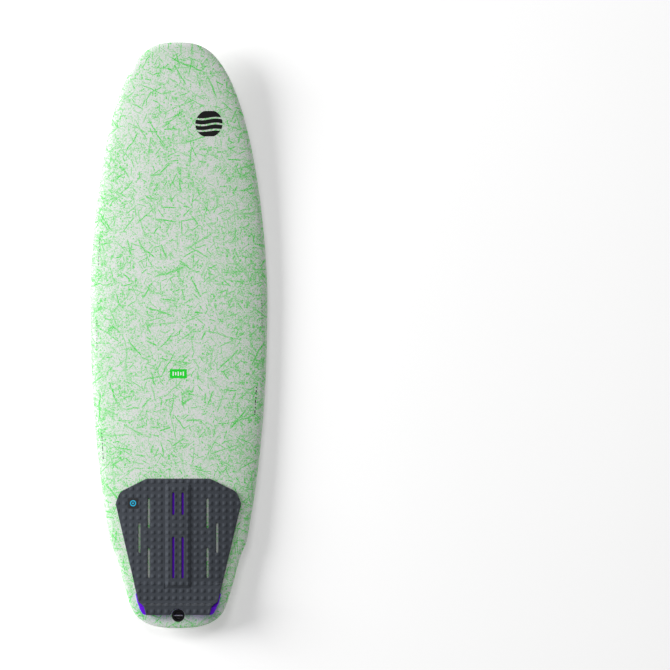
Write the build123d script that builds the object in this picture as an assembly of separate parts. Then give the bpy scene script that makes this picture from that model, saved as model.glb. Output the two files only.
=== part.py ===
from build123d import *
import math
import os

# A directional surf-style kiteboard: foam blank, laminated skins, three fin boxes with grub screws,
# a leash plug and an EVA traction pad.
# Millimetres. +Y points to the nose, +X to the rider's right seen from the deck, +Z up out of the deck.
# The origin is on the ground under the middle of the length and width, with the board lying on its rocker.

os.makedirs("parts", exist_ok=True)

# ---- driving dimensions: hull -------------------------------------------------------------------
LENGTH = 1550.0            # nose to tail
WIDTH = 471.2              # widest point
WIDE_POINT_Y = 104.0       # where the outline is widest
NOSE_FULLNESS = (1.61, 0.353)    # exponents of the nose outline
TAIL_TAPER = (0.243, 2.25)       # share of width lost at the wing, and the exponent of that curve
WING_Y = -560.0            # small wing where the tail outline starts
WING_BLEND = 15.0          # half the length over which the wing runs out
TAIL_HALF_WIDTH = 173.0    # half-width just behind the wing
TAIL_SLOPE = 0.291         # how fast the tail outline closes behind the wing
TAIL_CORNER_Y = -690.0     # where the tail corners begin to round
TAIL_CORNER = (3.5, 0.37)  # exponents of the tail corner
THICKNESS = 61.0           # at the middle
NOSE_THICKNESS = 10.0
TAIL_THICKNESS = 16.0
NOSE_FOIL = (2.0, 0.55)    # exponents of the thickness run-out
TAIL_FOIL = (2.5, 0.95)
ROCKER_FLAT_Y = -37.0      # lowest point of the bottom
NOSE_ROCKER = ((80.8, 2.67), (18.3, 16.8))   # height and exponent of each term
TAIL_ROCKER = ((47.8, 2.05),)
RAIL_SHARE = 0.43          # the rail apex, as a share of the thickness above the bottom
DECK_DOME = 2.2            # exponent of the domed deck
RAIL_TUCK = 26.0           # how far the bottom rail curve reaches in from the rail
TAIL_TUCK = 12.0           # the same behind the front foot, where the bottom edge is harder
TUCK_BLEND_Y = (-420.0, -200.0)
TUCK_SHARE = 0.4           # its limit, as a share of the half-width
EDGE_ANGLE = 35.0          # degrees round the rail curve at which it meets the flat bottom
TIP_ROUND = 9.0            # length over which the tips round off in side view
TIP_SLIT = 0.3             # height of the hollow where the laminates close at the tips

# ---- laminate, blank and reinforcement ----------------------------------------------------------
SKIN = 1.5                 # laminate thickness
BOND = 0.4                 # resin or glue line between curved pieces
SEAM = 0.2                 # gap between the two laminates at the rail
STRINGER = 4.0
STRINGER_END = 22.0        # distance from the nose tip to the stringer's end
BAND_Y = (-405.6, 455.5)
BAND_X = (131.0, 169.0)
BAND = 1.2
PATCH = 2.0
PATCH_OUTLINE = ((150.0, 60.0), (150.0, -450.0), (95.0, -702.0))
PATCH_RADII = (0, 20.0, 20.0, 20.0, 0)
PATCH_SECTIONS = 14        # spaces between the sections of the surfaces that shape it
BLOCK_MARGIN = 9.0         # dense foam around each fin box
BLOCK_FRONT = 3.6          # less of it in front of and outboard of the side boxes
SIDE_BLOCK_DEPTH = 21.0
CENTRE_BLOCK_DEPTH = 18.0

# ---- fin boxes ----------------------------------------------------------------------------------
SIDE_BOX_Y = (-410.0, -538.6)
SIDE_BOX_X = (154.0, 158.0)      # centre line at the front and rear ends: the toe-in
SIDE_BOX_WIDTH = 23.0
SIDE_SLOT_Y = (-417.5, -531.5)
SIDE_LUG_Y = (-438.8, -503.7)
CENTRE_BOX_Y = (-569.5, -725.2)
CENTRE_BOX_WIDTH = 24.0
CENTRE_SLOT_Y = (-577.0, -691.0)
CENTRE_LUG_Y = (-602.0, -661.5)
BOX_CORNER = 6.0
FLANGE = 3.0
SLOT_WIDTH = 7.0
SLOT_DEPTH = 13.5
SLOT_CORNER = 1.5
BOX_WALL = 3.0
BOX_END_WALL = 4.0
BOX_FLOOR = 2.0
LUG_REACH = 10.0
LUG_BASE = 31.0
LUG_TIP = 15.0
LUG_ROOT = 2.0             # how far a lug starts inside the flange
SCREW_OFFSET = 12.0        # screw hole mouth from the slot's centre line
SCREW_TILT = 45.0
SCREW_RADIUS = 2.4
SCREW_LENGTH = 7.0
SCREW_POINT = (1.2, 1.4)   # flat of the cone point (radius) and the cone's height
SCREW_CLEARANCE = 0.3
SCREW_CHAMFER = 0.4
SCREW_PARK = 2.2           # how far the parked screw's tip stays back from the slot wall
HEX_RADIUS = 1.45          # corner radius of the hex socket
HEX_DEPTH = 3.0
BOSS_WALL = 2.2
BODY_BELOW = 4.0           # the moulding is made too deep and trimmed flush with the bottom
TRIM_REACH = 100.0         # half the length of the tool that trims a fin box
CUT_BELOW = 6.0            # cutting tools start this far below the bottom

# ---- leash plug ---------------------------------------------------------------------------------
PLUG_Y = -741.0
PLUG_RADIUS = 16.75
PLUG_RIM = 2.0
PLUG_CHAMFER = 0.8
PLUG_BODY_RADIUS = 15.0
PLUG_DEPTH = 13.0
PLUG_BOWL_RADIUS = 12.0
PLUG_FLOOR = 2.0
PLUG_STANDOFF = 0.6        # how far the rim stands above the deck
PIN_RADIUS = 1.75
PIN_LENGTH = 27.0
PIN_DEPTH = 4.5
PIN_CLEARANCE = 0.05
PIN_END_PLAY = 0.4
PLUG_BLOCK_RADIUS = 23.5
PLUG_BLOCK_GAP = 0.4       # the block's flat top under the slightly domed laminate

# ---- traction pad -------------------------------------------------------------------------------
PAD = 5.0                  # EVA sheet thickness between the bumps
PAD_FRONT = (84.0, -377.8)
PAD_SHOULDER = (155.0, -413.5)
PAD_WING = (166.8, -444.0)
PAD_WAIST = (108.0, -707.0)
PAD_REAR = (93.0, -737.5)
PAD_RADII = (0, 26.0, 26.0, 16.0, 22.0, 12.0, 0)
DARK_WAIST = (105.5, -704.0)     # the dark sheet is cut back here, so the wedge shows at the corners
DARK_NIB = (90.0, -714.0)
DARK_REAR = (84.0, -737.5)
DARK_RADII = (0, 26.0, 26.0, 16.0, 5.0, 6.0, 0, 0)
ARCH_Y = (-395.0, -663.0)
ARCH_HALF_WIDTH = 29.0
ARCH_CORNER = 8.0
ARCH = 4.0                 # thickness of the bar under the sheet
PAD_SECTIONS = 20          # spaces between the sections of the surface under the pad
PAD_SLOT = 5.5
PAD_SLOTS = (              # (distance from the centre line, front, rear)
    (12.3, -414.0, -474.0),
    (12.3, -532.0, -642.0),
    (77.8, -429.5, -510.0),
    (77.8, -561.0, -641.0),
    (103.0, -495.0, -575.0),
)
WEDGE_TOE_Y = -682.0
WEDGE_FACE_Y = -716.0
WEDGE_HEIGHT = 26.0
WEDGE_TOE = 0.6            # height of the wedge where it starts
WEDGE_TOE_RISE = 4.5       # its height at the foot of the steep face
WEDGE_EASE = 1.5           # how far the steep face leans before it is upright
WEDGE_ROOT = 12.0          # its side profile starts this far under the deck and is trimmed to it
WEDGE_FOOT_Y = -708.0
NOTCH_RADIUS = 20.0        # clearance in the kick around the leash plug
BADGE_AT = (-119.6, -443.4)
BADGE = 26.5
BADGE_CORNER = 2.0
BADGE_INSET = 1.2
BADGE_PROUD = 0.8

TIP_STEPS = (0.15, 0.8, 1.6, 2.6, 4.2, 7.0, 11.0, 17.0, 26.0, 40.0, 58.0)   # stations near the tips
BODY_STATIONS = 24         # spaces between the stations of the rest of the hull
LOWER_POINTS = 4           # points that shape each half section: rail to bottom edge
UPPER_POINTS = 7           # rail to deck centre
DECK_SPAN = 0.93           # share of the half-width over which the local deck surfaces are built
HALF_LENGTH = LENGTH / 2
REACH = 2 * LENGTH         # longer than the board, for cutting tools
STRIP_STEP = 40.0          # spacing of the points that shape a strip
SKY = 3 * THICKNESS        # higher than anything on the board


# ---- hull form ----------------------------------------------------------------------------------
def smooth(t):
    t = min(1.0, max(0.0, t))
    return t * t * (3 - 2 * t)


def tail_half_width(y):
    straight = TAIL_HALF_WIDTH - TAIL_SLOPE * (WING_Y - y)
    t = max(0.0, (TAIL_CORNER_Y - y) / (TAIL_CORNER_Y + HALF_LENGTH))
    power, root = TAIL_CORNER
    return straight * max(0.0, 1 - t ** power) ** root


def half_width(y):
    """Half the outline's width at station y."""
    if y >= WIDE_POINT_Y:
        power, root = NOSE_FULLNESS
        t = (y - WIDE_POINT_Y) / (HALF_LENGTH - WIDE_POINT_Y)
        return WIDTH / 2 * max(0.0, 1 - t ** power) ** root
    loss, power = TAIL_TAPER
    t = (WIDE_POINT_Y - y) / (WIDE_POINT_Y - WING_Y)
    body = WIDTH / 2 * (1 - loss * t ** power)
    blend = smooth((WING_Y + WING_BLEND - y) / (2 * WING_BLEND))
    return body if blend == 0 else body * (1 - blend) + tail_half_width(y) * blend


def rocker(y):
    """Height of the bottom's centre line."""
    if y >= ROCKER_FLAT_Y:
        t, terms = (y - ROCKER_FLAT_Y) / (HALF_LENGTH - ROCKER_FLAT_Y), NOSE_ROCKER
    else:
        t, terms = (ROCKER_FLAT_Y - y) / (HALF_LENGTH + ROCKER_FLAT_Y), TAIL_ROCKER
    return sum(height * t ** power for height, power in terms)


def thickness(y):
    tip, (power, root) = (NOSE_THICKNESS, NOSE_FOIL) if y >= 0 else (TAIL_THICKNESS, TAIL_FOIL)
    t = min(1.0, abs(y) / HALF_LENGTH)
    return tip + (THICKNESS - tip) * (1 - t ** power) ** root


def rail_height(y):
    return rocker(y) + RAIL_SHARE * thickness(y)


def deck_height(y):
    return rocker(y) + thickness(y)


def blank_bottom(y):
    return rocker(y) + SKIN + BOND


def blank_top(y):
    return deck_height(y) - SKIN - BOND


def rail_tuck(y):
    hard, soft = TUCK_BLEND_Y
    return TAIL_TUCK + (RAIL_TUCK - TAIL_TUCK) * smooth((y - hard) / (soft - hard))


def tip_round(distance):
    """Share of the full half-thickness that is left at that distance from a tip."""
    t = min(1.0, max(0.0, distance / TIP_ROUND))
    return math.sqrt(t * (2 - t))


def rail_curves(y, inset, length_inset=0.0):
    """Right-hand points of a section drawn in by inset: bottom edge to rail, and rail to deck centre."""
    full_y = y * HALF_LENGTH / (HALF_LENGTH - length_inset)
    outer_half = half_width(full_y)
    tip = tip_round(HALF_LENGTH - abs(y))
    below = RAIL_SHARE * thickness(full_y)
    above = thickness(full_y) - below
    tuck = min(rail_tuck(full_y), TUCK_SHARE * outer_half)
    drop = below / math.cos(math.radians(EDGE_ANGLE)) - inset
    edge_angle = math.acos((below - inset) / drop)
    z = rail_height(full_y)
    inner_tip = inner_share(y, inset, above) if inset else tip
    lower, upper = [], []
    for k in range(LOWER_POINTS + 1):
        a = edge_angle + (math.pi / 2 - edge_angle) * k / LOWER_POINTS
        lower.append((outer_half - tuck + (tuck - inset) * math.sin(a), z - drop * inner_tip * math.cos(a)))
    side = outer_half - inset
    for k in range(UPPER_POINTS + 1):
        a = math.pi / 2 * k / UPPER_POINTS
        x = 0.0 if k == UPPER_POINTS else side * math.cos(a) ** (2 / DECK_DOME)
        upper.append((x, z + (above - inset) * inner_tip * math.sin(a) ** (2 / DECK_DOME)))
    return lower, upper


def inner_share(y, inset, above):
    """How far the hollow inside the laminate is open near a tip, closing to a slit at the end wall."""
    distance = HALF_LENGTH - inset - abs(y)
    t = min(1.0, max(0.0, distance / (TIP_ROUND + inset)))
    return max(TIP_SLIT / above, t * (2 - t))


def stations(inset):
    """Stations from tail to nose, close together where the tips round off."""
    reach = HALF_LENGTH - inset
    near_tip = TIP_STEPS
    start, count = 2 * TIP_STEPS[-1] - TIP_STEPS[-2], BODY_STATIONS
    body = [-reach + start + 2 * (reach - start) * k / count for k in range(count + 1)]
    wing = [WING_Y + WING_BLEND, WING_Y - WING_BLEND]
    body = [y for y in body if min(abs(y - w) for w in wing) > WING_BLEND]
    return [-reach + d for d in near_tip] + sorted(body + wing) + [reach - d for d in reversed(near_tip)]


def at_station(points, y, shift=0.0):
    return [Vector(x, y, z + shift) for x, z in points]


def mirror_points(points):
    return [Vector(-p.X, p.Y, p.Z) for p in reversed(points)]


def ring(edges):
    """A closed wire from splines and lines, each given as its points."""
    made = []
    for points in edges:
        made.append(Edge.make_spline(points) if len(points) > 2 else Edge.make_line(*points))
    return Wire(made)


def make_deck_skin():
    """The deck laminate, from seam to seam over the deck."""
    sections = []
    for y in stations(0):
        outer = at_station(rail_curves(y, 0)[1], y, SEAM / 2)
        inner = at_station(rail_curves(y, SKIN)[1], y, SEAM / 2)
        over = outer[:-1] + mirror_points(outer)
        back = (inner[:-1] + mirror_points(inner))[::-1]
        sections.append(ring([over, (over[-1], back[0]), back, (back[-1], over[0])]))
    return Solid.make_loft(sections)


def make_bottom_skin():
    """The bottom laminate, up round both rails to the seam."""
    sections = []
    for y in stations(0):
        outer = at_station(rail_curves(y, 0)[0], y, -SEAM / 2)
        inner = at_station(rail_curves(y, SKIN)[0], y, -SEAM / 2)
        outer_left, inner_left = mirror_points(outer), mirror_points(inner)
        edges = [outer, (outer[-1], inner[-1]), inner[::-1], (inner[0], inner_left[-1]), inner_left[::-1]]
        edges += [(inner_left[0], outer_left[0]), outer_left, (outer_left[-1], outer[0])]
        sections.append(ring(edges))
    return Solid.make_loft(sections)


def make_half_blank(side, inset):
    """One half of the foam blank, flat against the stringer."""
    sections = []
    for y in stations(inset):
        lower, upper = rail_curves(y, inset, inset)
        flat = STRINGER / 2
        reach, top = upper[0][0], upper[-1][1] - upper[0][1]
        kept = [p for p in upper if p[0] > flat + 1]
        at_flat = upper[0][1] + top * (1 - (flat / reach) ** DECK_DOME) ** (1 / DECK_DOME)
        around = at_station(lower + kept[1:] + [(flat, at_flat)], y)
        foot = Vector(flat, y, around[0].Z)
        points = [Vector(side * p.X, p.Y, p.Z) for p in around]
        foot = Vector(side * foot.X, y, foot.Z)
        sections.append(ring([points, (points[-1], foot), (foot, points[0])]))
    return Solid.make_loft(sections)


def strip(x_low, x_high, y_low, y_high, z_low, z_high):
    """A solid between two height functions of y, of constant section along X."""
    count = max(12, round((y_high - y_low) / STRIP_STEP))
    ys = [y_low + (y_high - y_low) * k / count for k in range(count + 1)]
    low = Edge.make_spline([Vector(x_low, y, z_low(y)) for y in ys])
    high = Edge.make_spline([Vector(x_low, y, z_high(y)) for y in reversed(ys)])
    ends = [Edge.make_line(low @ 1, high @ 0), Edge.make_line(high @ 1, low @ 0)]
    return extrude(Face(Wire([low, ends[0], high, ends[1]])), x_high - x_low, dir=(1, 0, 0))


def under_deck(raised, y_low, y_high, count):
    """Everything under the deck surface raised by that much, over a stretch of the board."""
    sections = []
    for k in range(count + 1):
        y = y_low + (y_high - y_low) * k / count
        side, z = half_width(y), rail_height(y)
        above = deck_height(y) - z
        top = []
        for m in range(-UPPER_POINTS, UPPER_POINTS + 1):
            share = DECK_SPAN * m / UPPER_POINTS
            rise = above * (1 - abs(share) ** DECK_DOME) ** (1 / DECK_DOME)
            top.append(Vector(side * share, y, z + rise + raised))
        foot_right, foot_left = Vector(top[-1].X, y, 0), Vector(top[0].X, y, 0)
        edges = [Edge.make_spline(top), Edge.make_line(top[-1], foot_right)]
        edges += [Edge.make_line(foot_right, foot_left), Edge.make_line(foot_left, top[0])]
        sections.append(Wire(edges))
    return Solid.make_loft(sections)


def prism(points, radii, low, high, grow=0.0):
    """A vertical prism on a rounded outline, mirrored about the centre line."""
    mirrored = [(-x, y) for x, y in reversed(points) if x > 0]
    corners = list(points) + mirrored
    line = Polyline(*corners, close=True)
    face = make_face(line)
    for (x, y), radius in zip(points, radii):
        if radius > 1:
            picked = [v for v in face.vertices() if abs(abs(v.X) - x) < 0.01 and abs(v.Y - y) < 0.01]
            face = fillet(picked, radius)
    if grow:
        face = offset(face, grow)
    return Pos(0, 0, low) * extrude(face, high - low)


def whole(shape):
    """The shape as a plain list of solids in one compound, or the one solid."""
    solids = shape.solids()
    return solids[0] if len(solids) == 1 else Compound(solids)


# ---- fin box in its own frame: X across, Y forward, Z into the board, 0 on the bottom -----------
def box_plane(x_ends, y_ends):
    x = sum(x_ends) / 2
    y = sum(y_ends) / 2
    step = 1.0
    slope = (rocker(y + step) - rocker(y - step)) / (2 * step)
    toe = (x_ends[0] - x_ends[1]) / (y_ends[0] - y_ends[1])
    forward = Vector(toe, 1, slope).normalized()
    across = forward.cross(Vector(0, -slope, 1)).normalized()
    return Plane(origin=(x, y, rocker(y)), x_dir=across, z_dir=across.cross(forward))


def box_outline(length, width, lugs, grow):
    face = RectangleRounded(width + 2 * grow, length + 2 * grow, BOX_CORNER + grow)
    for side, y in lugs:
        inner, outer = side * (width / 2 - LUG_ROOT), side * (width / 2 + LUG_REACH + grow)
        base, tip = LUG_BASE / 2 + grow + LUG_ROOT, LUG_TIP / 2 + grow
        points = [(inner, y - base), (outer, y - tip), (outer, y + tip), (inner, y + base)]
        face += make_face(Polyline(*points, close=True))
    return face


def screw_axis(side, y):
    """Plane at the screw's mouth, with Z along the screw towards the slot."""
    tilt = math.radians(SCREW_TILT)
    direction = (-side * math.sin(tilt), 0, math.cos(tilt))
    return Plane(origin=(side * SCREW_OFFSET, y, 0), x_dir=(0, 1, 0), z_dir=direction)


def along_screw(lateral):
    """Distance along the screw axis from its mouth to a plane that far from the slot's middle."""
    return (SCREW_OFFSET - lateral) / math.sin(math.radians(SCREW_TILT))


def box_solid(length, width, lugs, slot_length, slot_shift, grow, below):
    """The moulding's outside, grown for pockets; slot and screw holes are cut later."""
    body = Pos(0, 0, -below) * extrude(box_outline(length, width, lugs, grow), FLANGE + below + grow)
    deep_width = SLOT_WIDTH + 2 * (BOX_WALL + grow)
    deep_length = slot_length + 2 * (BOX_END_WALL + grow)
    deep = RectangleRounded(deep_width, deep_length, SLOT_CORNER + BOX_END_WALL / 2)
    body += Pos(0, slot_shift, 0) * extrude(deep, SLOT_DEPTH + BOX_FLOOR + grow)
    on_floor = (Align.CENTER, Align.CENTER, Align.MIN)
    for side, y in lugs:
        boss_radius = SCREW_RADIUS + SCREW_CLEARANCE + BOSS_WALL + grow
        boss = extrude(Circle(boss_radius), along_screw(SLOT_WIDTH / 2 + BOX_WALL / 3))
        boss = screw_axis(side, y).location * boss
        body += boss & Pos(0, y, FLANGE / 2) * Box(REACH, LUG_BASE, 2 * SLOT_DEPTH, align=on_floor)
    return body


def screw_solid():
    """A cone-point grub screw, its tip at the origin and its socket on -Z."""
    flat, cone = SCREW_POINT
    profile = [(0, 0), (flat, 0), (SCREW_RADIUS, -cone), (SCREW_RADIUS, SCREW_CHAMFER - SCREW_LENGTH)]
    profile += [(SCREW_RADIUS - SCREW_CHAMFER, -SCREW_LENGTH), (0, -SCREW_LENGTH)]
    face = Plane.XZ * make_face(Polyline(*profile, close=True))
    screw = revolve(face, Axis.Z)
    socket = extrude(RegularPolygon(HEX_RADIUS, 6), HEX_DEPTH)
    return screw - Pos(0, 0, -SCREW_LENGTH) * socket


def make_fin_box(name, x_ends, y_ends, width, slot_y, lugs, side_of_lug):
    """A finished fin box, the pocket that it sits in, the skin's cut-out and its placed screws."""
    plane = box_plane(x_ends, y_ends)
    length = math.hypot(y_ends[0] - y_ends[1], x_ends[0] - x_ends[1])
    middle = sum(y_ends) / 2
    slot_length = slot_y[0] - slot_y[1]
    slot_shift = sum(slot_y) / 2 - middle
    local_lugs = [(side, y - middle) for side, y in zip(side_of_lug, lugs)]
    sizes = (length, width, local_lugs, slot_length, slot_shift)
    body = box_solid(*sizes, 0, BODY_BELOW)
    pocket = plane.location * box_solid(*sizes, BOND, CUT_BELOW)
    slot = RectangleRounded(SLOT_WIDTH, slot_length, SLOT_CORNER)
    body -= Pos(0, slot_shift, -CUT_BELOW) * extrude(slot, SLOT_DEPTH + CUT_BELOW)
    screws = []
    for side, y in local_lugs:
        axis = screw_axis(side, y)
        hole = extrude(Circle(SCREW_RADIUS + SCREW_CLEARANCE), along_screw(0) + CUT_BELOW)
        hole = Pos(0, 0, -CUT_BELOW) * hole
        body -= axis.location * hole
        tip = along_screw(SLOT_WIDTH / 2 + SCREW_PARK)
        screws.append(plane.location * axis.location * Pos(0, 0, tip) * screw_solid())
    return {"name": name, "plane": plane, "body": plane.location * body, "pocket": pocket, "screws": screws}


def fin_boxes():
    left_x = tuple(-x for x in SIDE_BOX_X)
    side = (SIDE_BOX_Y, SIDE_BOX_WIDTH, SIDE_SLOT_Y, SIDE_LUG_Y)
    centre = (CENTRE_BOX_Y, CENTRE_BOX_WIDTH, CENTRE_SLOT_Y, CENTRE_LUG_Y)
    return [
        make_fin_box("left", left_x, *side, (1, 1)),
        make_fin_box("right", SIDE_BOX_X, *side, (-1, -1)),
        make_fin_box("centre", (0, 0), *centre, (1, -1)),
    ]


def fin_block(x_range, y_range, depth, grow):
    """Dense foam around one fin box, from the bottom laminate up, or the room for it."""
    low, high = x_range
    rear, front = y_range

    def bottom(y):
        return blank_bottom(y) - 10 * grow

    def top(y):
        return rocker(y) + depth + grow

    return strip(low - grow, high + grow, rear - grow, front + grow, bottom, top)


def fin_block_ranges():
    """Name, X range, Y range and depth of each dense foam block."""
    inboard = SIDE_BOX_X[0] - SIDE_BOX_WIDTH / 2 - LUG_REACH - BLOCK_MARGIN
    outboard = SIDE_BOX_X[1] + SIDE_BOX_WIDTH / 2 + BLOCK_FRONT
    side_y = (SIDE_BOX_Y[1] - BLOCK_MARGIN, SIDE_BOX_Y[0] + BLOCK_FRONT)
    centre_x = CENTRE_BOX_WIDTH / 2 + LUG_REACH + BLOCK_MARGIN
    centre_y = (CENTRE_SLOT_Y[1] - BLOCK_MARGIN, CENTRE_BOX_Y[0] + BLOCK_MARGIN)
    return [
        ("left", (-outboard, -inboard), side_y, SIDE_BLOCK_DEPTH),
        ("right", (inboard, outboard), side_y, SIDE_BLOCK_DEPTH),
        ("centre", (-centre_x, centre_x), centre_y, CENTRE_BLOCK_DEPTH),
    ]


# ---- traction pad -------------------------------------------------------------------------------
def pad_deck(raised):
    return under_deck(raised, PAD_REAR[1] - PAD, PAD_FRONT[1] + PAD, PAD_SECTIONS)


def slot_cutters():
    cutters = []
    for x, front, rear in PAD_SLOTS:
        for side in (-1, 1):
            shape = extrude(SlotOverall(front - rear, PAD_SLOT, rotation=90), 2 * THICKNESS)
            cutters.append(Pos(side * x, (front + rear) / 2, 0) * shape)
    return cutters


def kick_prism(points, half_width):
    face = make_face(Polyline(*[(0, y, z) for y, z in points], close=True))
    return Pos(-half_width, 0, 0) * extrude(face, 2 * half_width, dir=(1, 0, 0))


def wedge_points(grow):
    """Side profile of the kick wedge, as (Y, Z) points from toe to rear, grown on its upper side."""
    deck = deck_height(PAD_REAR[1])
    foot = deck_height(WEDGE_FOOT_Y)
    toe_y, face_y = WEDGE_TOE_Y + 5 * grow, WEDGE_FACE_Y + grow
    rear_y = PAD_REAR[1] - 5 * grow
    toe_z = deck_height(WEDGE_TOE_Y)
    return [
        (toe_y, toe_z - WEDGE_ROOT),
        (toe_y, toe_z + WEDGE_TOE + grow),
        (WEDGE_FOOT_Y + grow, foot + WEDGE_TOE_RISE + grow),
        (face_y + WEDGE_EASE, deck + 2.2 * WEDGE_TOE_RISE + grow),
        (face_y, deck + 3.4 * WEDGE_TOE_RISE + grow),
        (face_y, deck + WEDGE_HEIGHT + grow),
        (rear_y, deck + WEDGE_HEIGHT + grow),
        (rear_y, deck - WEDGE_ROOT),
    ]


def traction_pad():
    top = SKY
    front = [(0.0, PAD_FRONT[1]), PAD_FRONT, PAD_SHOULDER, PAD_WING]
    full = prism(front + [PAD_WAIST, PAD_REAR, (0.0, PAD_REAR[1])], PAD_RADII, 0, top)
    dark_rear = [DARK_WAIST, DARK_NIB, DARK_REAR, (0.0, DARK_REAR[1])]
    dark = prism(front + dark_rear, DARK_RADII, 0, top)
    notch = Pos(0, PLUG_Y, 0) * extrude(Circle(NOTCH_RADIUS), top)
    wide = PAD_WING[0]
    bonded = pad_deck(BOND)
    wedge = (kick_prism(wedge_points(0), wide) & full) - [bonded, notch]

    arch_middle = sum(ARCH_Y) / 2
    arch_base = RectangleRounded(2 * ARCH_HALF_WIDTH, ARCH_Y[0] - ARCH_Y[1], ARCH_CORNER)
    arch = Pos(0, arch_middle, 0) * extrude(arch_base, top)
    arch_room = Pos(0, arch_middle, 0) * extrude(offset(arch_base, BOND), top)
    arch_cover = Pos(0, arch_middle, 0) * extrude(offset(arch_base, PAD + BOND), top)
    bar = (arch & pad_deck(BOND + ARCH)) - bonded

    sheet = dark & pad_deck(BOND + PAD)
    sheet += arch_cover & pad_deck(2 * BOND + ARCH + PAD)
    sheet += kick_prism(wedge_points(PAD + BOND), wide) & dark
    rear_trim = Pos(0, PAD_REAR[1] - REACH / 2, 0) * Box(REACH, REACH, REACH)
    under_arch = arch_room & pad_deck(2 * BOND + ARCH)
    sheet -= [bonded, under_arch, kick_prism(wedge_points(BOND), wide), notch, rear_trim] + slot_cutters()

    badge_square = extrude(RectangleRounded(BADGE, BADGE, BADGE_CORNER), top)
    badge_room = extrude(RectangleRounded(BADGE + 2 * BOND, BADGE + 2 * BOND, BADGE_CORNER), top)
    place = Pos(BADGE_AT[0], BADGE_AT[1], 0)
    seat = BOND + PAD - BADGE_INSET
    sheet -= place * badge_room - pad_deck(seat)
    badge = (place * badge_square & pad_deck(BOND + PAD + BADGE_PROUD)) - pad_deck(seat + BOND)
    return {"pad_main": sheet, "pad_kick_wedge": wedge, "pad_arch_bar": bar, "pad_badge": badge}


# ---- leash plug ---------------------------------------------------------------------------------
def leash_plug():
    top = deck_height(PLUG_Y) + PLUG_STANDOFF
    at = Pos(0, PLUG_Y, top)
    body = Pos(0, 0, -PLUG_RIM) * extrude(Circle(PLUG_RADIUS), PLUG_RIM)
    body += Pos(0, 0, -PLUG_DEPTH) * extrude(Circle(PLUG_BODY_RADIUS), PLUG_DEPTH)
    bowl = Pos(0, 0, PLUG_FLOOR - PLUG_DEPTH) * extrude(Circle(PLUG_BOWL_RADIUS), PLUG_DEPTH)
    body -= fillet(bowl.edges().sort_by(Axis.Z)[0], PLUG_BOWL_RADIUS / 3)
    top_edges = body.edges().filter_by(GeomType.CIRCLE).group_by(Axis.Z)[-1]
    body = chamfer(top_edges.sort_by(SortBy.RADIUS)[-1], PLUG_CHAMFER)
    hole = Cylinder(PIN_RADIUS + PIN_CLEARANCE, PIN_LENGTH + PIN_END_PLAY, rotation=(0, 90, 0))
    body -= Pos(0, 0, -PIN_DEPTH) * hole
    pin = Pos(0, 0, -PIN_DEPTH) * Cylinder(PIN_RADIUS, PIN_LENGTH, rotation=(0, 90, 0))
    room = Pos(0, 0, -PLUG_RIM - BOND) * extrude(Circle(PLUG_RADIUS + BOND), 2 * PLUG_DEPTH)
    room += Pos(0, 0, -PLUG_DEPTH - BOND) * extrude(Circle(PLUG_BODY_RADIUS + BOND), 2 * PLUG_DEPTH)
    plug_block = Pos(0, PLUG_Y, 0) * extrude(Circle(PLUG_BLOCK_RADIUS), 2 * THICKNESS)
    return at * body, at * pin, at * room, plug_block


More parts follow.
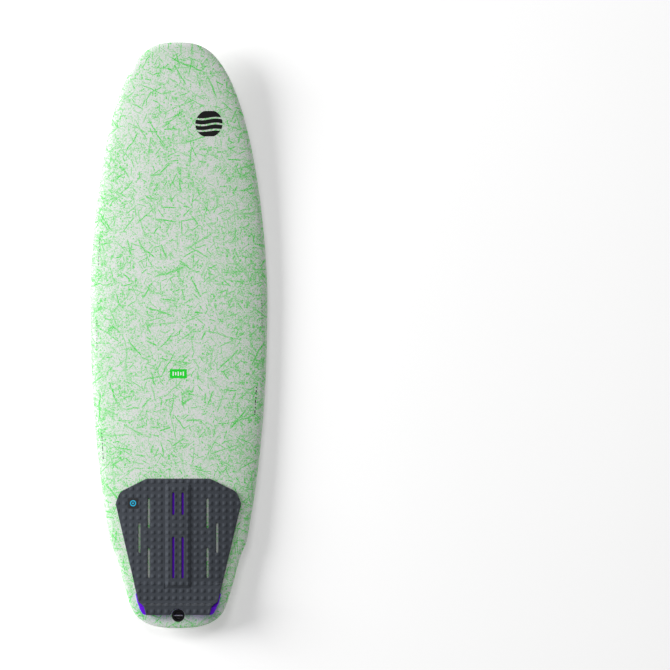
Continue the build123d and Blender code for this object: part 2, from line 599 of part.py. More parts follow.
def build():
    wide = WIDTH / 2 + 10
    nodes = {}
    boxes = fin_boxes()
    pockets = [box["pocket"] for box in boxes]
    cup, pin, cup_room, plug_block = leash_plug()

    nodes["deck_skin"] = make_deck_skin() - cup_room
    nodes["bottom_skin"] = make_bottom_skin() - pockets
    for box in boxes:
        y_middle = box["plane"].origin.Y
        rear, front = y_middle - TRIM_REACH, y_middle + TRIM_REACH
        trim = strip(-wide, wide, rear, front, lambda y: rocker(y) - 2 * CUT_BELOW, rocker)
        nodes["fin_box_" + box["name"]] = box["body"] - trim
        for end, screw in zip(("front", "rear"), box["screws"]):
            nodes[f"screw_{box['name']}_{end}"] = screw
    nodes["leash_cup"] = cup
    nodes["leash_pin"] = pin

    left_blank = make_half_blank(-1, SKIN + BOND)
    right_blank = make_half_blank(1, SKIN + BOND)
    block_room = []
    for box, (name, *ranges) in zip(boxes, fin_block_ranges()):
        block = fin_block(*ranges, 0) - box["pocket"]
        if name != "centre":
            block = block & (left_blank if name == "left" else right_blank)
        nodes["fin_block_" + name] = block
        block_room.append(fin_block(*ranges, BOND))
    plug_top = deck_height(PLUG_Y) - SKIN - BOND - PLUG_BLOCK_GAP
    near_plug = (PLUG_Y - PLUG_BLOCK_RADIUS - BOND, PLUG_Y + PLUG_BLOCK_RADIUS + BOND)
    plug_core = strip(-wide, wide, *near_plug, blank_bottom, lambda y: plug_top)
    nodes["leash_block"] = (plug_block & plug_core) - [cup_room, pockets[2]]

    patch_points = [(0.0, PATCH_OUTLINE[0][1])] + list(PATCH_OUTLINE) + [(0.0, PATCH_OUTLINE[-1][1])]
    patch_base = prism(patch_points, PATCH_RADII, 0, SKY)
    stretch = (PATCH_OUTLINE[-1][1] - PATCH, PATCH_OUTLINE[0][1] + PATCH, PATCH_SECTIONS)
    inside = SKIN + BOND
    patch = patch_base & under_deck(-inside, *stretch)
    nodes["deck_reinforcement"] = patch - under_deck(-inside - PATCH, *stretch)
    patch_room = prism(patch_points, PATCH_RADII, 0, SKY, BOND)
    patch_room -= under_deck(-inside - PATCH - BOND, *stretch)

    band_room = []
    for sign, name in ((-1, "left"), (1, "right")):
        low, high = sorted((sign * BAND_X[0], sign * BAND_X[1]))
        band = strip(low, high, *BAND_Y, blank_bottom, lambda y: blank_bottom(y) + BAND)
        nodes["bottom_band_" + name] = band
        room = (low - BOND, high + BOND, BAND_Y[0] - BOND, BAND_Y[1] + BOND)
        room_top = BAND + BOND
        band_room.append(strip(*room, rocker, lambda y: blank_bottom(y) + room_top))

    plug_block_room = Pos(0, PLUG_Y, 0) * extrude(Circle(PLUG_BLOCK_RADIUS + BOND), 2 * THICKNESS)
    cut_from_blank = block_room + [plug_block_room, patch_room] + band_room
    half_length = HALF_LENGTH - STRINGER_END
    stringer = strip(-STRINGER / 2, STRINGER / 2, PLUG_Y, half_length, blank_bottom, blank_top)
    nodes["centre_stringer"] = stringer - [block_room[2], plug_block_room, patch_room, pockets[2]]
    nodes["foam_core_left"] = left_blank - cut_from_blank - pockets[2]
    nodes["foam_core_right"] = right_blank - cut_from_blank - pockets[2]
    nodes.update(traction_pad())
    return nodes


if __name__ == "__main__":
    for node, shape in build().items():
        export_step(whole(shape), f"parts/{node}.step")
        print(node, len(shape.solids()), round(shape.volume))
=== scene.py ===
import math

import bmesh
import bpy
import numpy as np
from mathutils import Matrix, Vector
from mathutils.bvhtree import BVHTree


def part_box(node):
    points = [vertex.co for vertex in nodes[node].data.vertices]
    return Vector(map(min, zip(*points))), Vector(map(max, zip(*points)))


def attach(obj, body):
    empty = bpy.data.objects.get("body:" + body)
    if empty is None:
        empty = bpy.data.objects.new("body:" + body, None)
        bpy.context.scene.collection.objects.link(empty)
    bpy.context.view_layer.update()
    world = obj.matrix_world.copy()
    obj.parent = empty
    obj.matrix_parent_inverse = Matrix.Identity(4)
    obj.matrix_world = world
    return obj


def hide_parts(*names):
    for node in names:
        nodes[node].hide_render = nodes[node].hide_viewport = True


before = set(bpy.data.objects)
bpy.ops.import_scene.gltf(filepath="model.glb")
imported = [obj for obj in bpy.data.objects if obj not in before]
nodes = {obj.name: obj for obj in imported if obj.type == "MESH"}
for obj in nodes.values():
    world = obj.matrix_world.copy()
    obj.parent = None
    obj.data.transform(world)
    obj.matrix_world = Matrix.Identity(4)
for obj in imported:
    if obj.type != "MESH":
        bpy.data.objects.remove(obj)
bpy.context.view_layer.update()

MM = 0.001
scene = bpy.context.scene

# ---- picture ------------------------------------------------------------------------------------
DECK_RISE = 0.03           # where the deck is taken to be, above its lowest point
VIEW_WIDTH = 1.777         # metres across the picture at the height of the deck
BOARD_AT = -0.4155         # the board's centre line, left of the middle of the picture
BOARD_UP = -0.0025
LENS = 200.0
SENSOR = 36.0

# ---- traction pad pattern -----------------------------------------------------------------------
BUMP_HEIGHT = 2.4 * MM
BUMP_PITCH_X = 19.0 * MM
BUMP_PITCH_Y = 19.28 * MM
BUMP_PHASE_Y = 0.257       # where the rows sit, in rows from the pad's rear edge
BUMP_HALF = 6.2 * MM       # half the width of a bump's foot
KICK_ROW_Y = 10.0 * MM     # the single row on top of the kick, from the pad's rear edge
KICK_FRONT = 10.0 * MM     # how far ahead of the wedge its face reaches
KICK_DEPTH = 20.0 * MM     # and how far below the top of the wedge
KICK_PHASE_Z = 0.4         # where the rows sit on the face, in rows below the top of the wedge
ARCH_SLOPE = 9.0 * MM      # width of the sloped border over the arch bar
SHEET_TOP = 5.4 * MM       # top of the plain sheet above the deck
ARCH_COVER = 5.4 * MM      # how far the raised cover reaches past the bar
ARCH_SEARCH = 2.0 * MM     # how far outside the cover the step is looked for
PAD_VOXEL = 1.25 * MM
BLOCK_VOXEL = 1.5 * MM
SMOOTH_SHARE = 0.5         # how far each round of smoothing moves a point
BADGE_MARGIN = 0.5 * MM    # flat sheet left round the badge
BADGE_RAMP = 2.0 * MM      # where the bumps grow back to full height

# ---- printed films ------------------------------------------------------------------------------
FILM_LIFT = 0.05 * MM
FILM_THICK = 0.1 * MM
FILM_GAP = 0.01 * MM       # between a film and the next one on it
GRID_STEP = 6.0 * MM       # how finely a printed patch is cut to follow the surface
SLICE_GRID = (28, 6)       # cuts along and across a slice of the round mark
RING_GRID = (40, 1)

# ---- studio -------------------------------------------------------------------------------------
FLOOR_HALF = 6.0
FLOOR_GLOW = 0.2
SKY_STRENGTH = 0.28
LIGHT_TARGET = (0.0, 0.0, 0.05)


# ---- materials ----------------------------------------------------------------------------------
class Shader:
    """A node material under construction, with short calls for the nodes that it is made of."""

    def __init__(self, name):
        self.material = bpy.data.materials.new(name)
        self.material.use_nodes = True
        self.tree = self.material.node_tree
        self.surface = self.tree.nodes["Principled BSDF"]
        coordinates = self.tree.nodes.new("ShaderNodeTexCoord")
        self.place = coordinates.outputs["Object"]

    def put(self, socket, value):
        if isinstance(value, bpy.types.NodeSocket):
            self.tree.links.new(value, socket)
        elif value is not None:
            socket.default_value = value

    def math(self, operation, a, b=None, c=None, clamp=False):
        node = self.tree.nodes.new("ShaderNodeMath")
        node.operation = operation
        node.use_clamp = clamp
        for socket, value in zip(node.inputs, (a, b, c)):
            self.put(socket, value)
        return node.outputs[0]

    def vector(self, operation, a, b=None):
        node = self.tree.nodes.new("ShaderNodeVectorMath")
        node.operation = operation
        self.put(node.inputs[0], a)
        self.put(node.inputs[1], b)
        return node.outputs["Vector"]

    def split(self, vector):
        node = self.tree.nodes.new("ShaderNodeSeparateXYZ")
        self.put(node.inputs[0], vector)
        return node.outputs

    def noise(self, scale, detail=2.0, roughness=0.5, vector=None):
        node = self.tree.nodes.new("ShaderNodeTexNoise")
        self.put(node.inputs["Vector"], self.place if vector is None else vector)
        self.put(node.inputs["Scale"], scale)
        self.put(node.inputs["Detail"], detail)
        self.put(node.inputs["Roughness"], roughness)
        return node.outputs["Fac"]

    def stretched(self, x, y, z):
        """The place on the object, scaled by axis, for grain and tool marks."""
        return self.vector("MULTIPLY", self.place, (x, y, z))

    def between(self, value, low, high, to_low=0.0, to_high=1.0):
        """A smooth step from low to high."""
        node = self.tree.nodes.new("ShaderNodeMapRange")
        node.interpolation_type = "SMOOTHSTEP"
        for socket, number in zip(node.inputs, (value, low, high, to_low, to_high)):
            self.put(socket, number)
        return node.outputs["Result"]

    def mix(self, share, a, b):
        node = self.tree.nodes.new("ShaderNodeMix")
        node.data_type = "RGBA"
        self.put(node.inputs[0], share)
        self.put(node.inputs[6], a)
        self.put(node.inputs[7], b)
        return node.outputs[2]

    def voronoi(self, vector, feature="F1", flat=False):
        node = self.tree.nodes.new("ShaderNodeTexVoronoi")
        node.voronoi_dimensions = "2D" if flat else "3D"
        node.feature = feature
        self.put(node.inputs["Vector"], vector)
        self.put(node.inputs["Scale"], 1.0)
        self.put(node.inputs["Randomness"], 1.0)
        return node.outputs

    def attribute(self, name):
        node = self.tree.nodes.new("ShaderNodeAttribute")
        node.attribute_name = name
        return node.outputs["Fac"]

    def bump(self, height, distance, strength=1.0):
        node = self.tree.nodes.new("ShaderNodeBump")
        self.put(node.inputs["Strength"], strength)
        self.put(node.inputs["Distance"], distance)
        self.put(node.inputs["Height"], height)
        self.put(self.surface.inputs["Normal"], node.outputs["Normal"])

    def finish(self, color, roughness, metallic=0.0, coat=0.0, coat_roughness=0.1, specular=0.5, sheen=0.0):
        self.put(self.surface.inputs["Base Color"], color)
        self.put(self.surface.inputs["Roughness"], roughness)
        self.put(self.surface.inputs["Metallic"], metallic)
        self.put(self.surface.inputs["Coat Weight"], coat)
        self.put(self.surface.inputs["Coat Roughness"], coat_roughness)
        self.put(self.surface.inputs["Specular IOR Level"], specular)
        self.put(self.surface.inputs["Sheen Weight"], sheen)
        return self.material


def srgb(red, green, blue):
    """A colour given as 0 to 255, as the shader wants it."""
    def linear(value):
        value /= 255
        return value / 12.92 if value <= 0.04045 else ((value + 0.055) / 1.055) ** 2.4
    return (linear(red), linear(green), linear(blue), 1.0)


def strokes(shader, cell, width, seed, breaks):
    """Mask of straight strokes, one per random cell, each at its own angle, length and weight."""
    scaled = shader.vector("MULTIPLY", shader.place, (1 / cell, 1 / cell, 1 / cell))
    moved = shader.vector("ADD", scaled, (seed, seed * 1.7, 0.0))
    found = shader.voronoi(moved, flat=True)
    away = shader.split(shader.vector("SUBTRACT", moved, found["Position"]))
    chance = shader.split(found["Color"])
    angle = shader.math("MULTIPLY", chance[0], math.pi)
    across_x = shader.math("MULTIPLY", away[0], shader.math("COSINE", angle))
    across_y = shader.math("MULTIPLY", away[1], shader.math("SINE", angle))
    across = shader.math("ADD", across_x, across_y)
    wobble = shader.math("SUBTRACT", shader.noise(2.5 / cell), 0.5)
    across = shader.math("ADD", across, shader.math("MULTIPLY", wobble, 0.16))
    half = shader.math("MULTIPLY_ADD", chance[1], 0.7 * width / cell, 0.35 * width / cell)
    line = shader.between(shader.math("DIVIDE", shader.math("ABSOLUTE", across), half), 1.3, 0.5)
    length = shader.math("MULTIPLY_ADD", chance[2], 0.55, 0.25)
    ends = shader.between(found["Distance"], length, shader.math("MULTIPLY", length, 0.6))
    line = shader.math("MULTIPLY", line, ends)
    scatter = shader.math("FRACT", shader.math("MULTIPLY", chance[1], 7.3))
    weight = shader.between(scatter, 0.15, 0.9)
    return shader.math("MULTIPLY", shader.math("MULTIPLY", line, weight), breaks)


STROKE_LAYERS = ((0.040, 0.0022, 3.1), (0.031, 0.0020, 11.7), (0.055, 0.0025, 23.3),
                 (0.072, 0.0026, 37.9), (0.025, 0.0018, 71.9), (0.095, 0.0026, 53.1),
                 (0.018, 0.0016, 93.7))    # cell size, stroke width and seed
SPECKLE_LAYERS = ((170.0, 0.8), (290.0, 0.8))    # grains per metre, and how strong


def stroke_print(shader, broken):
    """Layers of crossing strokes of several lengths."""
    ink = None
    for cell, width, seed in STROKE_LAYERS:
        layer = strokes(shader, cell, width, seed, broken)
        ink = layer if ink is None else shader.math("MAXIMUM", ink, layer)
    return ink


def crowding(shader):
    """Where the speckles crowd: towards the rails and in loose clouds."""
    x = shader.math("ABSOLUTE", shader.split(shader.place)[0])
    rail = shader.between(x, 0.10, 0.22)
    cloud = shader.between(shader.noise(22.0, 3.0, 0.6), 0.42, 0.62)
    return shader.math("MULTIPLY_ADD", rail, 0.35, shader.math("MULTIPLY", cloud, 0.5), clamp=True)


def speckle_print(shader, dense):
    """Small dots of uneven size and strength."""
    ink = None
    for scale, share in SPECKLE_LAYERS:
        grains = shader.voronoi(shader.vector("MULTIPLY", shader.place, (scale, scale, scale)))
        chance = shader.split(grains["Color"])
        size = shader.math("MULTIPLY", chance[0], shader.math("MULTIPLY_ADD", dense, 0.36, 0.48))
        dot = shader.between(shader.math("SUBTRACT", size, grains["Distance"]), -0.04, 0.10)
        dot = shader.math("MULTIPLY", dot, shader.math("MULTIPLY_ADD", chance[1], 0.9 * share, 0.1 * share))
        ink = dot if ink is None else shader.math("MAXIMUM", ink, dot)
    return ink


def curl_print(shader, dense, broken):
    """Fine curled lines between the strokes."""
    line = shader.math("ABSOLUTE", shader.math("SUBTRACT", shader.noise(105.0, 3.0, 0.6), 0.5))
    line = shader.math("MULTIPLY", shader.between(line, 0.026, 0.008), broken)
    return shader.math("MULTIPLY", line, shader.math("ADD", dense, 0.5))


def deck_material():
    """White lacquer with a print of thin crossing green strokes, curls and speckles."""
    shader = Shader("deck_print")
    broken = shader.between(shader.noise(420.0, 3.0, 0.7), 0.38, 0.55)
    broken = shader.math("MULTIPLY_ADD", broken, 0.75, 0.25)
    dense = crowding(shader)
    ink = shader.math("MAXIMUM", speckle_print(shader, dense), curl_print(shader, dense, broken))
    ink = shader.math("MAXIMUM", stroke_print(shader, broken), ink)
    haze = shader.math("MULTIPLY_ADD", dense, 0.07, 0.01)
    ink = shader.math("ADD", ink, haze, clamp=True)
    tone = shader.noise(7.0, 4.0, 0.55)
    base = shader.mix(tone, srgb(217, 216, 217), srgb(230, 230, 230))
    color = shader.mix(ink, base, srgb(20, 212, 36))
    shader.bump(shader.noise(1500.0, 2.0), 0.00004, 0.5)
    roughness = shader.math("MULTIPLY_ADD", shader.noise(60.0, 4.0), 0.16, 0.42)
    return shader.finish(color, roughness, coat=0.12, coat_roughness=0.35)


def band_shadow(shader, across, along):
    """Where the reinforcement bands show through, from the size of the right one."""
    low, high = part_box("bottom_band_right")
    inside_x = shader.math("MULTIPLY", shader.between(across, low.x - 0.001, low.x + 0.001),
                           shader.between(across, high.x + 0.001, high.x - 0.001))
    inside_y = shader.math("MULTIPLY", shader.between(along, low.y - 0.002, low.y + 0.002),
                           shader.between(along, high.y + 0.002, high.y - 0.002))
    return shader.math("MULTIPLY", inside_x, inside_y)


def bottom_material():
    """Pale grey-green laminate: fine lengthwise grain, cloudy green, and the darker bands beneath."""
    shader = Shader("bottom_laminate")
    grain = shader.noise(1.0, 3.0, 0.6, shader.stretched(260.0, 3.0, 40.0))
    fine = shader.noise(1.0, 2.0, 0.5, shader.stretched(900.0, 9.0, 90.0))
    grain = shader.math("ADD", shader.math("MULTIPLY", grain, 0.7), shader.math("MULTIPLY", fine, 0.3))
    base = shader.mix(shader.between(grain, 0.35, 0.65), srgb(192, 197, 190), srgb(216, 220, 214))
    cloud = shader.noise(1.0, 3.0, 0.55, shader.stretched(9.0, 3.2, 4.0))
    base = shader.mix(shader.between(cloud, 0.5, 0.72, 0.0, 0.3), base, srgb(176, 222, 170))
    parts = shader.split(shader.place)
    x = shader.math("ABSOLUTE", parts[0])
    band = band_shadow(shader, x, parts[1])
    weave = shader.math("MULTIPLY_ADD", grain, 0.16, 0.10)
    base = shader.mix(shader.math("MULTIPLY", band, weave), base, srgb(120, 132, 122))
    centre = shader.between(x, 0.0011, 0.0003, 0.0, 0.35)
    color = shader.mix(centre, base, srgb(140, 152, 142))
    shader.bump(grain, 0.00006, 0.4)
    roughness = shader.math("MULTIPLY_ADD", shader.noise(50.0, 4.0), 0.15, 0.27)
    return shader.finish(color, roughness, coat=0.4, coat_roughness=0.12)


def foam_material(name, low, high, top_tone, sheen):
    """Closed-cell EVA: pores with painted shade in their dents, a slightly mottled colour, and paler towards
    the bump tops.
    """
    shader = Shader(name)
    pores = shader.voronoi(shader.vector("MULTIPLY", shader.place, (1700.0, 1700.0, 1700.0)))
    mottled = shader.noise(90.0, 4.0, 0.6)
    color = shader.mix(mottled, low, high)
    # Colour goes paler towards the bump tops, by bump height times noise.
    top_paling = shader.math("MULTIPLY", shader.attribute("bump_top"), shader.noise(35.0, 3.0))
    color = shader.mix(shader.math("MULTIPLY", top_paling, 0.55), color, top_tone)
    # Painted shade: the colour darkens towards the darker foam tone inside each pore dent, which the same
    # mask also sinks.
    pore_dent_and_shade = shader.between(pores["Distance"], 0.15, 0.5)
    color = shader.mix(shader.math("MULTIPLY_ADD", pore_dent_and_shade, 0.9, 0.1), low, color)
    shader.bump(pore_dent_and_shade, 0.00012, 0.55)
    roughness = shader.math("MULTIPLY_ADD", mottled, 0.12, 0.74)
    return shader.finish(color, roughness, sheen=sheen, specular=0.3)


def plastic_material(name, low, high, gloss):
    """Moulded plastic with a fine spark-eroded texture and slightly rubbed patches."""
    shader = Shader(name)
    cloudy = shader.noise(120.0, 4.0, 0.6)
    grit = shader.noise(2600.0, 2.0)
    color = shader.mix(cloudy, low, high)
    shader.bump(grit, 0.00005, 0.6)
    roughness = shader.math("MULTIPLY_ADD", cloudy, 0.2, gloss)
    return shader.finish(color, roughness, specular=0.5)


def steel_material(name, tone):
    """Turned stainless steel: rings of fine tool marks and faint stains."""
    shader = Shader(name)
    marks = shader.noise(1.0, 2.0, 0.5, shader.stretched(4000.0, 4000.0, 700.0))
    stain = shader.noise(300.0, 3.0)
    color = shader.mix(stain, tone, srgb(225, 226, 230))
    shader.bump(marks, 0.00002, 0.4)
    roughness = shader.math("MULTIPLY_ADD", marks, 0.22, 0.18)
    return shader.finish(color, roughness, metallic=1.0)


def cell_foam_material(name, low, high, size):
    """Beaded blank foam: packed cells with darker borders."""
    shader = Shader(name)
    cells = shader.voronoi(shader.vector("MULTIPLY", shader.place, (1 / size,) * 3), "DISTANCE_TO_EDGE")
    border = shader.between(cells["Distance"], 0.02, 0.14)
    cloudy = shader.noise(30.0, 4.0)
    color = shader.mix(border, low, shader.mix(cloudy, low, high))
    shader.bump(border, 0.0002, 0.5)
    return shader.finish(color, shader.math("MULTIPLY_ADD", cloudy, 0.1, 0.8), specular=0.25)


def wood_material(name):
    """Thin plywood: long grain with darker late wood."""
    shader = Shader(name)
    grain = shader.noise(1.0, 5.0, 0.65, shader.stretched(600.0, 8.0, 260.0))
    color = shader.mix(shader.between(grain, 0.35, 0.68), srgb(150, 112, 70), srgb(214, 180, 130))
    shader.bump(grain, 0.00012, 0.5)
    return shader.finish(color, shader.math("MULTIPLY_ADD", grain, 0.25, 0.5))


def weave_material(name, low, high, pitch):
    """Plain-woven cloth under resin."""
    shader = Shader(name)
    parts = shader.split(shader.place)
    warp = shader.math("SINE", shader.math("MULTIPLY", parts[0], 2 * math.pi / pitch))
    weft = shader.math("SINE", shader.math("MULTIPLY", parts[1], 2 * math.pi / pitch))
    over = shader.between(shader.math("MULTIPLY", warp, weft), -0.6, 0.6)
    cloudy = shader.noise(40.0, 3.0)
    color = shader.mix(shader.math("MULTIPLY", over, cloudy), low, high)
    shader.bump(over, 0.0001, 0.5)
    return shader.finish(color, shader.math("MULTIPLY_ADD", cloudy, 0.15, 0.3), coat=0.3)


def ink_material(name, low, high):
    """A printed film: nearly even ink with a trace of grain, under the same lacquer."""
    shader = Shader(name)
    grain = shader.noise(700.0, 3.0, 0.6)
    color = shader.mix(grain, low, high)
    shader.bump(grain, 0.00002, 0.4)
    return shader.finish(color, shader.math("MULTIPLY_ADD", grain, 0.15, 0.4), coat=0.08, specular=0.3)


def floor_material():
    """A pale floor that glows a little, as a lit white studio sweep does."""
    shader = Shader("studio_floor")
    cloudy = shader.noise(1.2, 3.0)
    color = shader.mix(cloudy, (0.95, 0.95, 0.95, 1.0), (0.97, 0.97, 0.97, 1.0))
    shader.put(shader.surface.inputs["Emission Color"], (1.0, 1.0, 1.0, 1.0))
    shader.put(shader.surface.inputs["Emission Strength"], FLOOR_GLOW)
    return shader.finish(color, shader.math("MULTIPLY_ADD", cloudy, 0.1, 0.8), specular=0.1)


def dress(piece, material):
    piece.data.materials.clear()
    piece.data.materials.append(material)


# ---- pieces -------------------------------------------------------------------------------------
def new_piece(name, mesh, material):
    """A piece of the visual model on the board itself."""
    piece = bpy.data.objects.new(name, mesh)
    scene.collection.objects.link(piece)
    dress(piece, material)
    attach(piece, "root")
    return piece


def remeshed_copy(node, name, voxel):
    """The CAD node's shape as an even quad mesh, ready for vertex moves."""
    piece = bpy.data.objects.new(name + "_source", nodes[node].data.copy())
    scene.collection.objects.link(piece)
    remesh = piece.modifiers.new("remesh", "REMESH")
    remesh.mode = "VOXEL"
    remesh.voxel_size = voxel
    remesh.adaptivity = 0.0
    graph = bpy.context.evaluated_depsgraph_get()
    mesh = bpy.data.meshes.new_from_object(piece.evaluated_get(graph))
    bpy.data.objects.remove(piece)
    mesh.name = name
    return mesh


def mesh_arrays(mesh):
    count = len(mesh.vertices)
    points, normals = np.zeros(count * 3), np.zeros(count * 3)
    mesh.vertices.foreach_get("co", points)
    mesh.vertex_normals.foreach_get("vector", normals)
    return points.reshape(-1, 3), normals.reshape(-1, 3)


def off_centre(place, pitch):
    """Distance to the nearest bump's middle, in half widths of a bump."""
    return np.abs(place / pitch - np.round(place / pitch)) * pitch / BUMP_HALF


def pillow(u, v):
    """Height of the bump pattern, 0 to 1: blunt four-sided pyramids with flat valleys between them."""
    off_u, off_v = off_centre(u, BUMP_PITCH_X), off_centre(v, BUMP_PITCH_Y)
    square = 1.0 - np.maximum(off_u, off_v)
    round_one = 1.0 - np.hypot(off_u, off_v) / 1.2
    rise = np.clip(1.5 * (0.65 * square + 0.35 * round_one), 0.0, 1.0)
    return rise * rise * (3 - 2 * rise) * 0.4 + rise * 0.6


def soften(mesh, rounds):
    """Smooths the steps that the voxel grid leaves."""
    edit = bmesh.new()
    edit.from_mesh(mesh)
    for _ in range(rounds):
        bmesh.ops.smooth_vert(edit, verts=edit.verts, factor=SMOOTH_SHARE, use_axis_x=True,
                              use_axis_y=True, use_axis_z=True)
    edit.to_mesh(mesh)
    edit.free()


def shade_smooth(mesh):
    mesh.polygons.foreach_set("use_smooth", [True] * len(mesh.polygons))
    mesh.update()


def flatten_arch_border(points, normals):
    """Turns the step round the raised middle of the sheet into a slope."""
    deck = Surface("deck_skin", True)
    low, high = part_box("pad_arch_bar")
    x, y = points[:, 0], points[:, 1]
    inside = np.minimum(high.x - np.abs(x), np.minimum(y - low.y, high.y - y)) + ARCH_COVER
    near = (inside > -ARCH_SEARCH) & (inside < ARCH_SLOPE) & (normals[:, 2] > -0.3)
    for k in np.nonzero(near)[0]:
        ground = deck.point(x[k], y[k], 0.0).z
        over = points[k, 2] - ground - SHEET_TOP
        if over > 0:
            share = min(1.0, max(0.0, inside[k] / ARCH_SLOPE))
            points[k, 2] = ground + SHEET_TOP + over * share


def clear_of_badge(x, y):
    """0 round the badge, growing to 1 away from it."""
    low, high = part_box("pad_badge")
    away_x = np.maximum(low.x - x, x - high.x)
    away_y = np.maximum(low.y - y, y - high.y)
    return np.clip((np.maximum(away_x, away_y) - BADGE_MARGIN) / BADGE_RAMP, 0.0, 1.0)


def bump_moves(points, normals):
    """How far each point of the sheet rises, and how far it moves forward on the kick's face."""
    low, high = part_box("pad_kick_wedge")
    x, y, z = points.T
    facing_up = np.clip((normals[:, 2] - 0.35) / 0.45, 0.0, 1.0)
    kick_zone = (y < high.y + KICK_FRONT) & (z > high.z - KICK_DEPTH)
    facing_nose = np.where(kick_zone, np.clip((normals[:, 1] - 0.5) / 0.4, 0.0, 1.0), 0.0)
    columns = x - BUMP_PITCH_X / 2
    rows = y - low.y - BUMP_PHASE_Y * BUMP_PITCH_Y
    rows = np.where(z > high.z, y - low.y - KICK_ROW_Y, rows)
    face_rows = z - high.z + KICK_PHASE_Z * BUMP_PITCH_Y
    lift = BUMP_HEIGHT * pillow(columns, rows) * facing_up * clear_of_badge(x, y)
    push = BUMP_HEIGHT * pillow(columns, face_rows) * facing_nose
    return lift, push


def textured_pad():
    """The dark deck sheet with its raised bump pattern, over the arch bar and up the kick."""
    mesh = remeshed_copy("pad_main", "pad_sheet", PAD_VOXEL)
    soften(mesh, 2)
    points, normals = mesh_arrays(mesh)
    flatten_arch_border(points, normals)
    lift, push = bump_moves(points, normals)
    points[:, 2] += lift
    points[:, 1] += push
    mesh.vertices.foreach_set("co", points.ravel())
    top = mesh.attributes.new("bump_top", "FLOAT", "POINT")
    top.data.foreach_set("value", (np.maximum(lift, push) / BUMP_HEIGHT).astype(np.float32))
    shade_smooth(mesh)
    slate = foam_material("eva_slate", srgb(52, 56, 63), srgb(68, 73, 81), srgb(86, 92, 101), sheen=0.08)
    piece = new_piece("pad_sheet", mesh, slate)
    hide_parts("pad_main")


def purple_block(node, name, material):
    """A soft-edged EVA block in place of a CAD solid."""
    mesh = remeshed_copy(node, name, BLOCK_VOXEL)
    soften(mesh, 3)
    top = mesh.attributes.new("bump_top", "FLOAT", "POINT")
    top.data.foreach_set("value", [0.3] * len(mesh.vertices))
    shade_smooth(mesh)
    piece = new_piece(name, mesh, material)
    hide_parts(node)


# ---- printed marks, laid on the surface below or above them --------------------------------------
class Surface:
    """Drops points straight onto a CAD node, from above or from below."""

    def __init__(self, node, from_above):
        graph = bpy.context.evaluated_depsgraph_get()
        self.tree = BVHTree.FromObject(nodes[node], graph)
        self.side = 1 if from_above else -1

    def point(self, x, y, lift):
        start = Vector((x, y, self.side))
        hit = self.tree.ray_cast(start, Vector((0, 0, -self.side)))
        if hit[0] is None:
            raise ValueError(f"no surface at {x}, {y}")
        return hit[0] + Vector((0, 0, self.side * lift))


# A patch is a function from two numbers, 0 to 1, to a place (x, y), with how finely to cut it.
def rectangle(centre, size, turn=0.0):
    """A patch with straight sides."""
    cos, sin = math.cos(turn), math.sin(turn)

    def at(u, v):
        dx, dy = (u - 0.5) * size[0], (v - 0.5) * size[1]
        return centre[0] + dx * cos - dy * sin, centre[1] + dx * sin + dy * cos
    return at, [max(1, round(side / GRID_STEP)) for side in size]


def disc_slice(centre, radius, low, high, swing):
    """A slice of a disc between two heights, with gently waved long edges."""
    def at(u, v):
        dy = low + (high - low) * v
        reach = math.sqrt(max(0.0, radius ** 2 - dy ** 2))
        dx = (2 * u - 1) * reach
        calm = 1 - (dy / radius) ** 2
        return centre[0] + dx, centre[1] + dy + swing * calm * math.sin(3 * dx / radius)
    return at, SLICE_GRID


def printed(name, patches, surface, lift, thick, material):
    """Thin closed films on a surface, one per patch, joined in one piece."""
    edit = bmesh.new()
    for at, (count_u, count_v) in patches:
        layers = []
        for height in (lift, lift + thick):
            grid = []
            for i in range(count_u + 1):
                spots = [at(i / count_u, j / count_v) for j in range(count_v + 1)]
                grid.append([edit.verts.new(surface.point(px, py, height)) for px, py in spots])
            layers.append(grid)
        low, high = layers
        for i in range(count_u):
            for j in range(count_v):
                edit.faces.new((high[i][j], high[i + 1][j], high[i + 1][j + 1], high[i][j + 1]))
                edit.faces.new((low[i][j + 1], low[i + 1][j + 1], low[i + 1][j], low[i][j]))
        rim = [(i, 0) for i in range(count_u)] + [(count_u, j) for j in range(count_v)]
        rim += [(i, count_v) for i in range(count_u, 0, -1)] + [(0, j) for j in range(count_v, 0, -1)]
        for (a, b), (c, d) in zip(rim, rim[1:] + rim[:1]):
            edit.faces.new((low[a][b], low[c][d], high[c][d], high[a][b]))
    bmesh.ops.recalc_face_normals(edit, faces=edit.faces)
    mesh = bpy.data.meshes.new(name)
    edit.to_mesh(mesh)
    edit.free()
    return new_piece(name, mesh, material)


def water_mark(centre, size):
    """A generic round mark: a disc in slices, parted by three waves."""
    radius = 0.5 * size
    bands = ((-0.93, -0.55), (-0.42, -0.12), (0.01, 0.31), (0.44, 0.93))
    return [disc_slice(centre, radius, low * radius, high * radius, 0.07 * radius) for low, high in bands]


def film(name, patches, surface, material, layer=0):
    """A printed film as the first or a later layer on a skin."""
    lift = FILM_LIFT + layer * (FILM_THICK + FILM_GAP)
    return printed(name, patches, surface, lift, FILM_THICK, material)


def label(name, centre, size, surface, inks):
    """A plain green label with a row of white bars."""
    green, white = inks
    film(name, [rectangle(centre, size)], surface, green)
    bars = []
    for k in range(5):
        at = (centre[0] + (k - 2) * 0.15 * size[0], centre[1])
        bars.append(rectangle(at, (0.07 * size[0], (0.34 if k % 2 else 0.46) * size[1])))
    film(name + "_bars", bars, surface, white, layer=1)


def ring(centre, radius, width):
    """A closed band round a centre."""
    def at(u, v):
        angle = 2 * math.pi * u
        reach = radius + (v - 0.5) * width
        return centre[0] + reach * math.cos(angle), centre[1] + reach * math.sin(angle)
    return at, RING_GRID


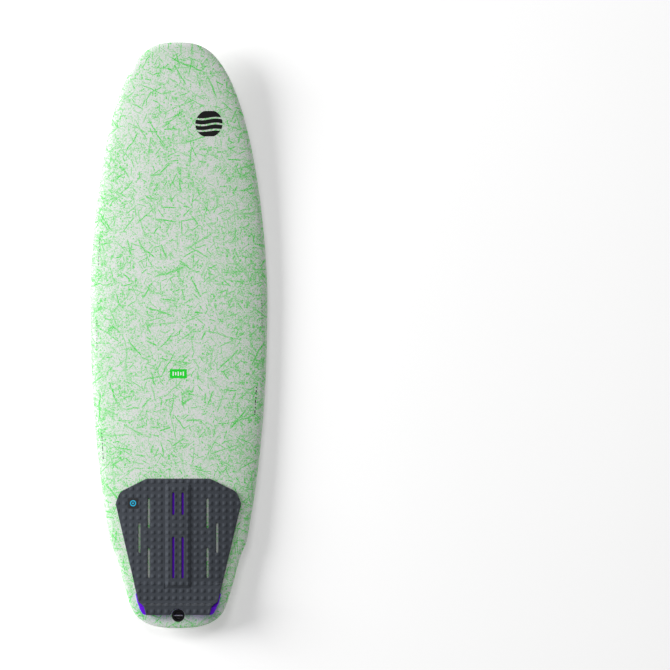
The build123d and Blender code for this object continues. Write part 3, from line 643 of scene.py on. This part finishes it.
def dash_row(start, end, count, width):
    """A row of short dashes of uneven length between two points."""
    step = ((end[0] - start[0]) / count, (end[1] - start[1]) / count)
    pitch = math.hypot(*step)
    turn = math.atan2(step[1], step[0])
    rows = []
    for k in range(count):
        share = (0.45, 0.8, 0.3, 0.62)[(k * 5 + k // 3) % 4]
        at = (start[0] + step[0] * (k + share / 2), start[1] + step[1] * (k + share / 2))
        rows.append(rectangle(at, (share * pitch, width), turn))
    return rows


# ---- dress the carried-over nodes ---------------------------------------------------------------
def dress_nodes():
    """Gives every CAD node its material, found by how its name starts."""
    dense = cell_foam_material("dense_foam", srgb(150, 138, 100), srgb(196, 182, 140), 0.0012)
    finishes = {
        "deck_skin": deck_material(),
        "deck_reinforcement": weave_material("sandwich_patch", srgb(60, 62, 64), srgb(120, 122, 120), 0.004),
        "bottom_skin": bottom_material(),
        "bottom_band_": weave_material("band_laminate", srgb(120, 128, 120), srgb(176, 184, 172), 0.003),
        "centre_stringer": wood_material("stringer_wood"),
        "foam_core_": cell_foam_material("core_foam", srgb(214, 214, 206), srgb(240, 240, 234), 0.003),
        "fin_block_": dense,
        "leash_block": dense,
        "fin_box_": plastic_material("black_nylon", srgb(14, 14, 15), srgb(30, 30, 32), 0.30),
        "screw_": steel_material("screw_steel", srgb(120, 122, 128)),
        "leash_cup": plastic_material("black_cup", srgb(4, 4, 5), srgb(12, 12, 13), 0.25),
        "leash_pin": steel_material("pin_steel", srgb(170, 172, 176)),
        "pad_badge": plastic_material("badge_plastic", srgb(16, 16, 18), srgb(34, 34, 38), 0.35),
    }
    for name, node in nodes.items():
        for start, material in finishes.items():
            if name.startswith(start):
                dress(node, material)


def soft_pad():
    """The dark sheet and the two purple blocks in place of the three soft CAD nodes."""
    textured_pad()
    purple = foam_material("eva_violet", srgb(92, 0, 206), srgb(118, 0, 244), srgb(140, 30, 255), sheen=0.0)
    purple_block("pad_kick_wedge", "kick_block", purple)
    purple_block("pad_arch_bar", "arch_block", purple)


# Rows of rail dashes: start, end, number of dashes and their width, in metres.
RAIL_ROWS = (
    ((-0.209, 0.258), (-0.213, 0.186), 11, 0.0013),
    ((-0.217, 0.042), (-0.217, -0.037), 12, 0.0013),
    ((-0.204, -0.257), (-0.200, -0.329), 8, 0.0018),
    ((0.221, 0.095), (0.222, 0.016), 12, 0.0013),
    ((0.207, -0.135), (0.202, -0.215), 9, 0.0024),
)


def badge_print():
    """A ring and a dot in the middle of the badge."""
    cyan_ink = ink_material("cyan_ink", srgb(20, 170, 214), srgb(40, 196, 236))
    low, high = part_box("pad_badge")
    centre = ((low.x + high.x) / 2, (low.y + high.y) / 2)
    mark = [ring(centre, 0.0068, 0.0026), ring(centre, 0.0012, 0.0023)]
    badge_top = Surface("pad_badge", True)
    printed("badge_mark", mark, badge_top, 0.03 * MM, 0.15 * MM, cyan_ink)


def board_prints():
    """The round marks, rail dashes and labels on the deck and the bottom."""
    deck = Surface("deck_skin", True)
    bottom = Surface("bottom_skin", False)
    black_ink = ink_material("black_ink", srgb(3, 3, 4), srgb(9, 9, 10))
    green_ink = ink_material("green_ink", srgb(0, 205, 30), srgb(20, 228, 48))
    white_ink = ink_material("white_ink", srgb(238, 240, 238), srgb(250, 250, 250))
    inks = (green_ink, white_ink)
    film("deck_mark", water_mark((0.0818, 0.5618), 0.072), deck, black_ink)
    film("bottom_mark", water_mark((0.0, 0.523), 0.090), bottom, black_ink)
    dashes = [dash for row in RAIL_ROWS for dash in dash_row(*row)]
    film("rail_dashes", dashes, deck, black_ink)
    label("deck_label", (0.0, -0.100), (0.045, 0.024), deck, inks)
    label("bottom_label", (0.0, -0.301), (0.103, 0.026), bottom, inks)


# ---- floor, light and camera --------------------------------------------------------------------
def studio_floor():
    mesh = bpy.data.meshes.new("studio_floor")
    corners = [(-FLOOR_HALF, -FLOOR_HALF, 0), (FLOOR_HALF, -FLOOR_HALF, 0),
               (FLOOR_HALF, FLOOR_HALF, 0), (-FLOOR_HALF, FLOOR_HALF, 0)]
    mesh.from_pydata(corners, [], [(0, 1, 2, 3)])
    floor = bpy.data.objects.new("studio_floor", mesh)
    scene.collection.objects.link(floor)
    dress(floor, floor_material())


def area_light(name, at, size, power):
    """A round soft light that faces the board and isn't seen itself."""
    data = bpy.data.lights.new(name, "AREA")
    data.shape = "DISK"
    data.size = size
    data.energy = power
    lamp = bpy.data.objects.new(name, data)
    lamp.location = at
    lamp.rotation_euler = (Vector(LIGHT_TARGET) - Vector(at)).to_track_quat("-Z", "Y").to_euler()
    lamp.visible_camera = False
    scene.collection.objects.link(lamp)


def studio_light():
    """A low key light on the left, a soft light from over the nose, and an even sky."""
    area_light("key_light", (-8.05, 1.8, 3.9), 5.5, 1000)
    area_light("top_light", (-0.8, 3.6, 7.0), 3.0, 110)
    world = bpy.data.worlds.new("studio")
    world.use_nodes = True
    background = world.node_tree.nodes["Background"]
    background.inputs["Color"].default_value = (1.0, 1.0, 1.0, 1.0)
    background.inputs["Strength"].default_value = SKY_STRENGTH
    scene.world = world
    scene.view_settings.view_transform = "Standard"


def top_camera():
    """A long lens that looks straight down at the deck."""
    data = bpy.data.cameras.new("camera")
    data.lens = LENS
    data.sensor_width = SENSOR
    data.clip_end = 100
    camera = bpy.data.objects.new("camera", data)
    deck_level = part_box("deck_skin")[0].z + DECK_RISE
    camera.location = (-BOARD_AT, -BOARD_UP, deck_level + VIEW_WIDTH * LENS / SENSOR)
    scene.collection.objects.link(camera)
    scene.camera = camera


dress_nodes()
soft_pad()
board_prints()
badge_print()
studio_floor()
studio_light()
top_camera()
